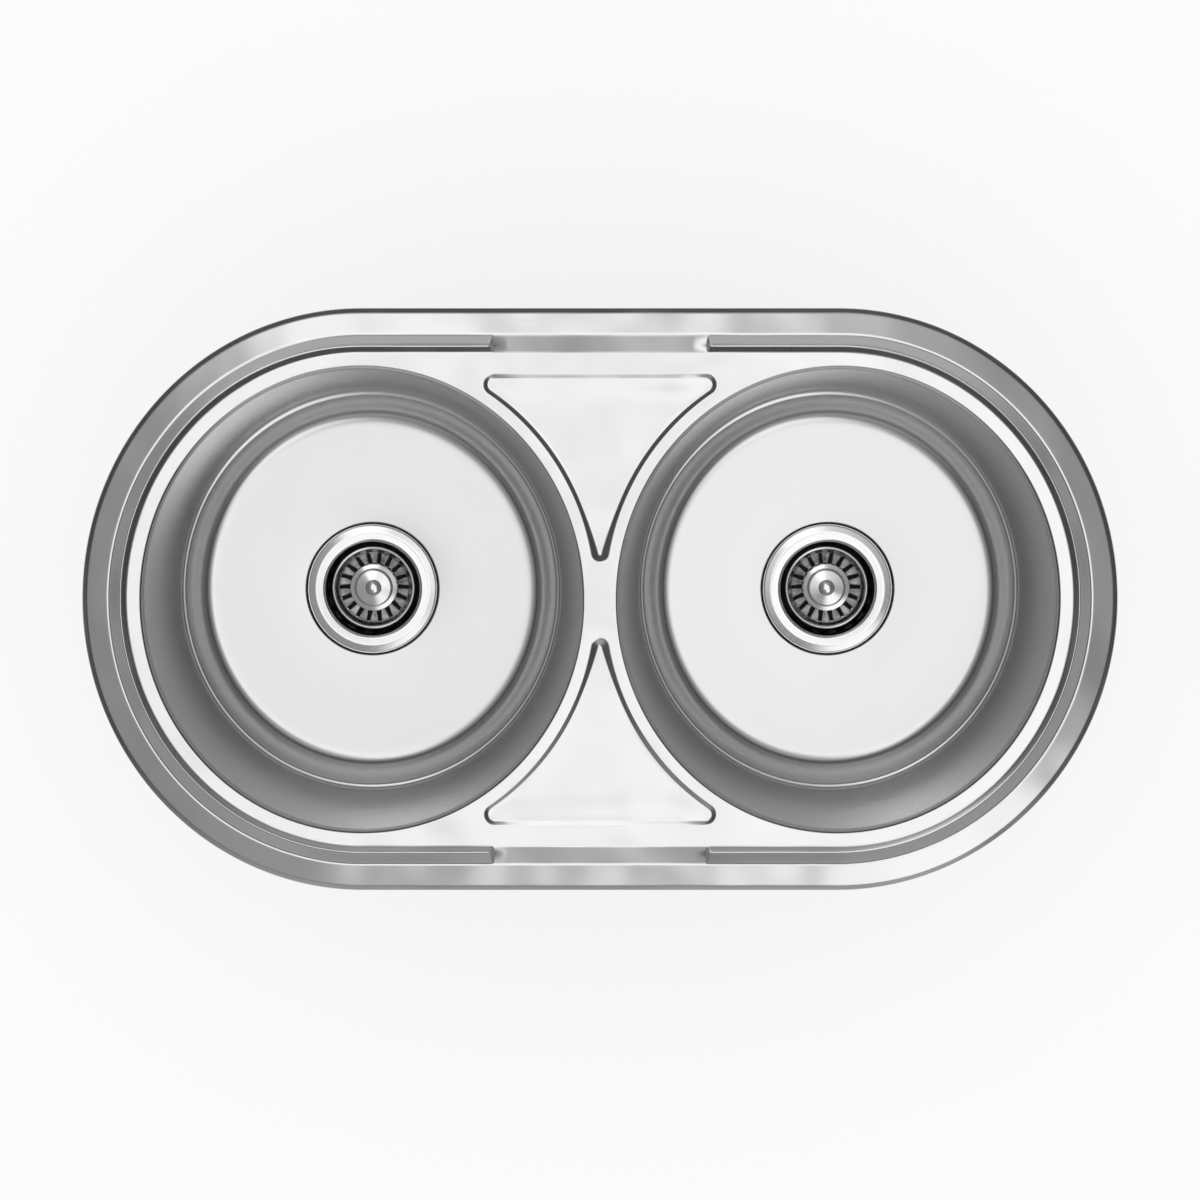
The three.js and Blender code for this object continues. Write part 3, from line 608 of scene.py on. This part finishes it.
# %% [markdown]
# ## The bowls
# Each bowl is deep drawn from one sheet: a flange welded under the top, a wall that leans in a little,
# a narrow step at its foot, a rounded foot and a floor that falls gently to the waste. The drawn line is
# carried round ovals that grow rounder towards the waste, so the surface is again a function of the
# angle and of the distance along the line.

# %% Bowls
bowl_corners = [
    (194.8, 2.2, 0), (186.8, 2.2, 2), (186.8, -3.3, 1.5), (168, -146.5, 2), (166.2, -147.6, 1),
    (164, -148.0, 1.5), (158.8, -153.1, 5), (151.6, -161.6, 6), (146.1, -165.3, 5), (141, -166.5, 6),
    (100, -167.0, 6), (59.2, -167.5, 0.8), (57.8, -170, 0.8), (46, -170, 0),
]
RECESS, LONGER = 58.5, 10.2


def ring_depth(half_length):
    """Half size in Y of the ring whose half size in X is given: longer by 10.2 mm at the mouth, and
    round at the waste's recess, in proportion between them."""
    return half_length + LONGER * np.clip((half_length - RECESS) / (MOUTH_X - RECESS), 0, 1)


bowl_r, bowl_z = drawn_line(bowl_corners, steps=6).T
for side, x in SIDES:
    bowl = np.stack(np.broadcast_arrays(
        x + bowl_r * np.cos(mouth_angle), ring_depth(bowl_r) * np.sin(mouth_angle), bowl_z,
    ), axis=-1)
    make(side + "_drawn_bowl", [patch(bowl, ring_rows=True)], side + "_bowl", "sink", BOWL_STEEL,
         sheet=SHEET)
print("bowl:", made["left_drawn_bowl"], "faces, depth", LEDGE_TOP - bowl_z.min(), "mm to the recess")

# %% [markdown]
# ## The basket strainer wastes
# The waste body is pressed and turned: a polished flange lies in the bowl's recess, the cup under it
# holds the basket, and its threaded end takes the outlet pipe. All of this is round, so each piece is a
# drawn section turned about the waste's axis. The threads are a real helix cut into the turned wall.

# %% Waste body
cup_section = [
    (22.6, -242.4, 0.4), (22.6, -219.4, 1), (25.2, -213.6, 1), (36.8, -213.6, 1), (36.8, -206, 2),
    (43.5, -194, 1), (43.5, -167.9, 0.3), (56.5, -167.9, 0.2), (56.5, -167.3, 0.3), (50.3, -166.4, 0.8),
    (43.4, -166.5, 1), (41.9, -168.0, 1), (41.9, -193, 0.8), (35.2, -205, 2),
    (35.2, -212, 4.5), (24.2, -212, 1), (21, -218.4, 1), (21, -242.4, 0.3),
]


def thin_section(corners):
    """A closed section from (radius, height, rounding), with points only at its corners."""
    return drawn_line(corners, steps=4, ring=True)


def section(corners, step=1.2):
    """The same section with points about `step` apart."""
    line = thin_section(corners)
    return resampled(np.concatenate([line, line[:1]]), step)[:-1]


def washer(inner, outer, low, high, rounding=0.4):
    """The section of a flat ring with eased corners."""
    return thin_section([(inner, low, rounding), (outer, low, rounding), (outer, high, rounding),
                         (inner, high, rounding)])


LUG_ROOT, LUG_HEIGHT = 53, 4.8
GROOVES, GROOVE_SHARE = 48, 0.018


def lug_outline(a):
    """Eight lugs: a smooth pulse in the angle between the root's share of the radius and all of it."""
    pulse = smooth((np.cos(8 * (a - 0.15 * np.pi / 4)) + 0.25) / 0.5)
    return (LUG_ROOT + LUG_HEIGHT * pulse) / (LUG_ROOT + LUG_HEIGHT)


def ribbed_octagon(a):
    """A flat-sided nut: cos(22.5) / cos(angle from the middle of a flat), with shallow grip grooves."""
    from_middle = np.mod(a, np.pi / 4) - np.pi / 8
    flat = np.cos(np.pi / 8) / np.cos(from_middle)
    return flat * (1 - GROOVE_SHARE * (0.5 + 0.5 * np.cos(GROOVES * a)))


# %% Body, washers, nuts and outlets of both wastes
for side, x in SIDES:
    cup = turned(section(cup_section, 0.6), x, steps=128, thread=(43.5, -187, -175, 2.2, 0.7))
    make(side + "_waste_body", [cup], side + "_strainer_cup", "sink", POLISHED)
    rings = [
        ("flange_seal", "flange_gasket", washer(46.3, 55, -169.7, -168.2), RUBBER),
        ("lower_seal", "rubber_washer", washer(46.3, 55, -173.8, -171.3, 0.6), RUBBER),
        ("slip_ring", "friction_washer", washer(46.3, 55, -175.1, -174.1, 0.2), FIBRE),
        ("outlet_seal", "tail_washer", washer(21, 23, -244.7, -242.7, 0.3), RUBBER),
    ]
    for name, node, shape, finish in rings:
        make(f"{side}_{name}", [turned(shape, x)], f"{side}_{node}", "sink", finish)
    nut = turned(washer(43.8, 57.8, -184.4, -175.4, 0.8), x, steps=256, lobes=(50, lug_outline))
    make(side + "_clamping_nut", [nut], side + "_locknut", "sink", ZINC)
    tail = section([(18.4, -291, 0.2), (20, -291, 0.4), (20, -247, 0.3), (23, -247, 0.3), (23, -245, 0.3),
                    (18.4, -245, 0.3)])
    make(side + "_outlet_tube", [turned(tail, x)], side + "_tailpiece", "sink", PLASTIC)
    collar = thin_section([(20.3, -250.3, 0.4), (28.2, -250.3, 1), (28.2, -228.4, 1), (23.3, -228.4, 0.4),
                           (23.3, -247.3, 0.3), (20.3, -247.3, 0.3)])
    ribbed = turned(collar, x, steps=384, lobes=(25.5, ribbed_octagon))
    make(side + "_slip_nut", [ribbed], side + "_coupling_nut", "sink", PLASTIC)
    pad = thin_section([(66, -171.3, 1), (128, -170.3, 1), (128, -167.8, 0.4), (66, -168.8, 0.4)])
    make(side + "_damping_pad", [turned(pad, x, steps=128)], side + "_sound_pad", "sink", RUBBER)
print("waste body:", made["left_waste_body"], "faces")

# %% [markdown]
# ## The strainer baskets
# A basket is pressed thin and pierced by 18 radial slots. Instead of cutting slots out, the sheet is
# made of 18 petals: along each petal the gap to the next one is a function of the distance down the
# wall. Where the gap is nought the petals are welded, and where it opens there is a slot with round
# ends.

# %% Baskets
SLOT_TOP, SLOT_FOOT = 30.7, 20.4  # radii between which a slot runs
TOP_GAP, GAP_GROWTH = 1.5, 0.8  # half its width at the top, and how much that grows to the foot
TOP_ROUND, FOOT_ROUND = 1.2, 2.0  # lengths of its round ends
basket_line = resampled(drawn_line([
    (37, -185.7, 0), (37, -184.2, 0.8), (35.8, -183.4, 0.9), (34.4, -183.9, 0.6), (33.9, -186, 1.2),
    (31.2, -193.5, 2.5), (24.4, -201.2, 2.5), (21.6, -204, 1.5), (4.4, -204, 0),
], steps=6), 0.42)
basket_r, basket_z = basket_line.T
distance = np.concatenate([[0], np.cumsum(np.hypot(np.diff(basket_r), np.diff(basket_z)))])
slot_start = np.interp(-SLOT_TOP, -basket_r, distance)
slot_end = np.interp(-SLOT_FOOT, -basket_r, distance)
along = np.clip((distance - slot_start) / (slot_end - slot_start), 0, 1)
from_end = np.minimum((distance - slot_start) / TOP_ROUND, (slot_end - distance) / FOOT_ROUND)
end_share = np.sqrt(1 - (1 - np.clip(from_end, 0, 1)) ** 2)
half_gap = (TOP_GAP + GAP_GROWTH * along**2) * end_share


def basket(x, petals=18, columns=7):
    """Petal k spans the angles (k + 1/2 +- 1/2) pitch, less the half gap over the radius on each side."""
    pitch = 2 * np.pi / petals
    centre = (np.arange(petals) + 0.5)[:, None, None] * pitch
    from_centre = np.linspace(-1, 1, columns)[None, :, None]
    angle = centre + from_centre * (pitch / 2 - half_gap / basket_r)
    points = np.broadcast_arrays(x + basket_r * np.cos(angle), basket_r * np.sin(angle), basket_z)
    return [patch(petal) for petal in np.stack(points, axis=-1)]


for side, x in SIDES:
    make(side + "_strainer_basket", basket(x), side + "_basket", side + "_strainer", POLISHED, sheet=0.8)
print("basket:", made["left_strainer_basket"], "faces, slot length", round(slot_end - slot_start, 1))

# %% [markdown]
# ## Knobs, posts and stoppers
# The lifting knob is a stack of buffed steel: a disc, a cap and a domed button. A riveted post joins it
# to the basket and to the rubber disc that closes the waste.

# %% Knobs, posts and stoppers
knob_line = drawn_line([
    (0, -188.2, 0), (4.4, -188.2, 0.2), (4.4, -203.7, 0.2), (8, -203.7, 0.4), (8, -188.5, 0.4),
    (20.4, -188.5, 0.3), (20.9, -187.7, 0.3), (16.9, -187.0, 0.3), (16.6, -184.8, 0.8), (15.6, -183.9, 0.8),
    (6.9, -182.7, 0.3), (6.5, -181.2, 1), (5.0, -179.5, 1.2), (2.6, -178.8, 1.2), (0, -178.7, 0),
], steps=5)
post_line = rounded(
    [(0, -214.5), (7, -214.5), (7, -212), (4, -212), (4, -207.4), (7, -207.4), (7, -205.1), (4, -205.1),
     (4, -188.5), (0, -188.5)], 0.6, steps=4)
plug_section = thin_section([(4.4, -211.7, 0.3), (29, -211.7, 0.8), (31.5, -210.2, 0.8), (30.8, -207.7, 0.8),
                             (4.4, -207.7, 0.3)])
for side, x in SIDES:
    make(side + "_lifting_knob", [turned(knob_line, x, ring=False)], side + "_knob", side + "_strainer",
         POLISHED)
    make(side + "_rivet", [turned(post_line, x, steps=48, ring=False)], side + "_post", side + "_strainer",
         POLISHED)
    make(side + "_rubber_plug", [turned(plug_section, x)], side + "_stopper", side + "_plug", RUBBER)
print("knob:", made["left_lifting_knob"], "faces")

# %% [markdown]
# ## The seal and the clips
# A strip of foam under the rim keeps water off the worktop. Its section is carried along the same plan
# as the rim. The clips are simple plated steel: they stay as the CAD model has them and get their
# material.

# %% Seal and clips
seal_out, seal_z = thin_section([(36.3, 0, 0.8), (46.3, 0, 0.8), (46.3, 4.1, 1.2), (36.3, 4.1, 1.2)]).T
seal = oval_place(station_x, station_angle, seal_out, seal_z)
make("foam_strip", [patch(seal, ring_rows=True, ring_columns=True)], "rim_seal", "sink", FOAM)
for name, node in frame["nodes"].items():
    if name.startswith("clip_"):
        node.data.materials.clear()
        node.data.materials.append(ZINC[0])
print("pieces made:", len(made), "faces:", sum(made.values()))

# %% [markdown]
# ## Camera, floor and studio light
# The photograph looks down almost straight from above, a little from behind the middle. The floor is
# plain and pale, just under the outlets. The light is an even white tent, and the camera sees it plain
# white. Rays that reflect off a glossy surface don't see that: they see the inside of a real tent, drawn
# here by direction. It has a round lamp overhead with a dimmer gap for the camera, a lamp at the back and
# one at the front right, a ring of black cloth between 50 and 60 degrees from overhead, which draws the
# dark lines along every crease, and pale cloth below. They see the floor darker too, because it would
# turn the undersides white.

# %% Camera and floor
CAMERA_Y, CAMERA_Z = 0.216, 3.6  # metres
FLOOR_Z, FLOOR_HALF = -0.2915, 40  # metres
FLOOR_GLOW, MIRRORED_GLOW, FLOOR_GREY = 0.7, 0.25, 0.3


def light_paths(tree):
    """1 for rays from the camera or through glass, and 1 for rays off a glossy surface, otherwise 0."""
    path = add(tree, "ShaderNodeLightPath")
    straight = calculated(tree, "MAXIMUM", path.outputs["Is Camera Ray"],
                          path.outputs["Is Transmission Ray"])
    return straight, path.outputs["Is Glossy Ray"]


camera = bpy.data.objects.new("camera", bpy.data.cameras.new("camera"))
bpy.context.scene.collection.objects.link(camera)
bpy.context.scene.camera = camera
camera.data.lens = 127.3
camera.data.sensor_width = 36
camera.location = (0, CAMERA_Y, CAMERA_Z)
camera.rotation_euler = (-np.arctan2(CAMERA_Y, CAMERA_Z), 0, 0)
camera.data.clip_end = 200

floor_mesh = bpy.data.meshes.new("floor")
floor_corners = [(x * FLOOR_HALF, y * FLOOR_HALF, FLOOR_Z) for x, y in ((-1, -1), (1, -1), (1, 1), (-1, 1))]
floor_mesh.from_pydata(floor_corners, [], [(0, 1, 2, 3)])
floor = bpy.data.objects.new("floor", floor_mesh)
bpy.context.scene.collection.objects.link(floor)
paper = bpy.data.materials.new("white_paper")
tree = empty_tree(paper)
straight, glossy = light_paths(tree)
direct = calculated(tree, "MULTIPLY", straight, FLOOR_GLOW)
mirrored = calculated(tree, "MULTIPLY", glossy, MIRRORED_GLOW)
shine = add(tree, "ShaderNodeEmission", {"Strength": calculated(tree, "MAXIMUM", direct, mirrored)})
matt = add(tree, "ShaderNodeBsdfDiffuse", {"Color": grey(FLOOR_GREY)})
both = add(tree, "ShaderNodeAddShader", {0: shine.outputs[0], 1: matt.outputs[0]})
add(tree, "ShaderNodeOutputMaterial", {"Surface": both.outputs[0]})
floor_mesh.materials.append(paper)
print("camera at", list(camera.location), "floor at", FLOOR_Z)

# %% Studio
TENT = 0.95
# Each lamp: the middle of its directions in X and Y, half its size, its softness and its level. Each
# cloth: its levels by the Z of the direction, between which they run straight.
PANELS = {
    "overhead": ((0.03, 0.0), (0.25, 0.23), 0.35, 1.26),
    "gap for the camera": ((-0.005, -0.015), (0.05, 0.045), 0.6, 0.55),
    "back": ((-0.1, 0.3), (0.14, 0.18), 0.25, 1.28),
    "front right": ((0.22, -0.45), (0.22, 0.26), 0.3, 1.2),
}
CLOTH = {
    "sides": [(0, 0.18), (0.19, 0.15), (0.25, 0.36), (0.44, 0.32), (0.52, 0.04), (0.55, 0.01), (0.61, 0.01),
              (0.66, 0.055), (0.79, 0.19), (0.9, 0.3), (1, 0.36)],
    "back": [(0, 0.18), (0.2, 0.14), (0.26, 0.42), (0.45, 0.36), (0.54, 0.06), (0.62, 0.02), (0.69, 0.03),
             (0.79, 0.4), (1, 0.4)],
    "front": [(0, 0.5), (0.35, 0.45), (0.55, 0.35), (0.66, 0.17), (0.79, 0.32), (0.9, 0.3), (1, 0.34)],
}


def faded(tree, value, low, high, top=1.0):
    """0 where the value is at `low`, `top` where it is at `high`, and level at both ends."""
    return add(tree, "ShaderNodeMapRange", {"Value": value, "From Min": low, "From Max": high,
                                            "To Max": top}, interpolation_type="SMOOTHSTEP").outputs[0]


world = bpy.data.worlds.new("studio")
bpy.context.scene.world = world
tree = empty_tree(world)
towards = add(tree, "ShaderNodeTexCoord").outputs["Generated"]
rise = add(tree, "ShaderNodeSeparateXYZ", {"Vector": towards}).outputs[2]
walls = {}
for name, stops in CLOTH.items():
    wall = add(tree, "ShaderNodeValToRGB", {"Fac": rise})
    for place, _ in stops[2:]:
        wall.color_ramp.elements.new(place)
    for element, (place, level) in zip(wall.color_ramp.elements, stops):
        element.position = place
        element.color = grey(level)
    walls[name] = wall.outputs[0]
level_way = add(tree, "ShaderNodeVectorMath", {0: towards, 1: (1, 1, 0)}, operation="MULTIPLY")
level_way = add(tree, "ShaderNodeVectorMath", {0: level_way.outputs[0]}, operation="NORMALIZE")
compass = add(tree, "ShaderNodeSeparateXYZ", {"Vector": level_way.outputs[0]})
backward = faded(tree, compass.outputs[1], -0.4, 0.4)
sideways = faded(tree, calculated(tree, "ABSOLUTE", compass.outputs[0]), 0.35, 0.9)
seen = mixed(tree, sideways, mixed(tree, backward, walls["front"], walls["back"]), walls["sides"])
upper = calculated(tree, "GREATER_THAN", rise, 0.0)
for centre, half_size, softness, level in PANELS.values():
    shifted = add(tree, "ShaderNodeVectorMath", {0: towards, 1: (*centre, 0)}, operation="SUBTRACT")
    shrink = (1 / half_size[0], 1 / half_size[1], 0)
    scaled = add(tree, "ShaderNodeVectorMath", {0: shifted.outputs[0], 1: shrink}, operation="MULTIPLY")
    far = add(tree, "ShaderNodeVectorMath", {0: scaled.outputs[0]}, operation="LENGTH")
    cover = faded(tree, far.outputs["Value"], 1 + softness, 1 - softness, upper)
    seen = mixed(tree, cover, seen, grey(level))
straight, glossy = light_paths(tree)
lit = mixed(tree, glossy, grey(TENT), seen)
back = add(tree, "ShaderNodeBackground", {"Color": mixed(tree, straight, lit, grey(1))})
add(tree, "ShaderNodeOutputWorld", {"Surface": back.outputs[0]})
print("studio:", len(PANELS), "lamps and", len(CLOTH), "cloths in", len(tree.nodes), "nodes")

# %% [markdown]
# ## View transform
# The dressed sink should fill the same box as the CAD model. Here the scene's colours are set to the
# Standard view transform.

# %% View transform
scene = bpy.context.scene
scene.view_settings.view_transform = "Standard"
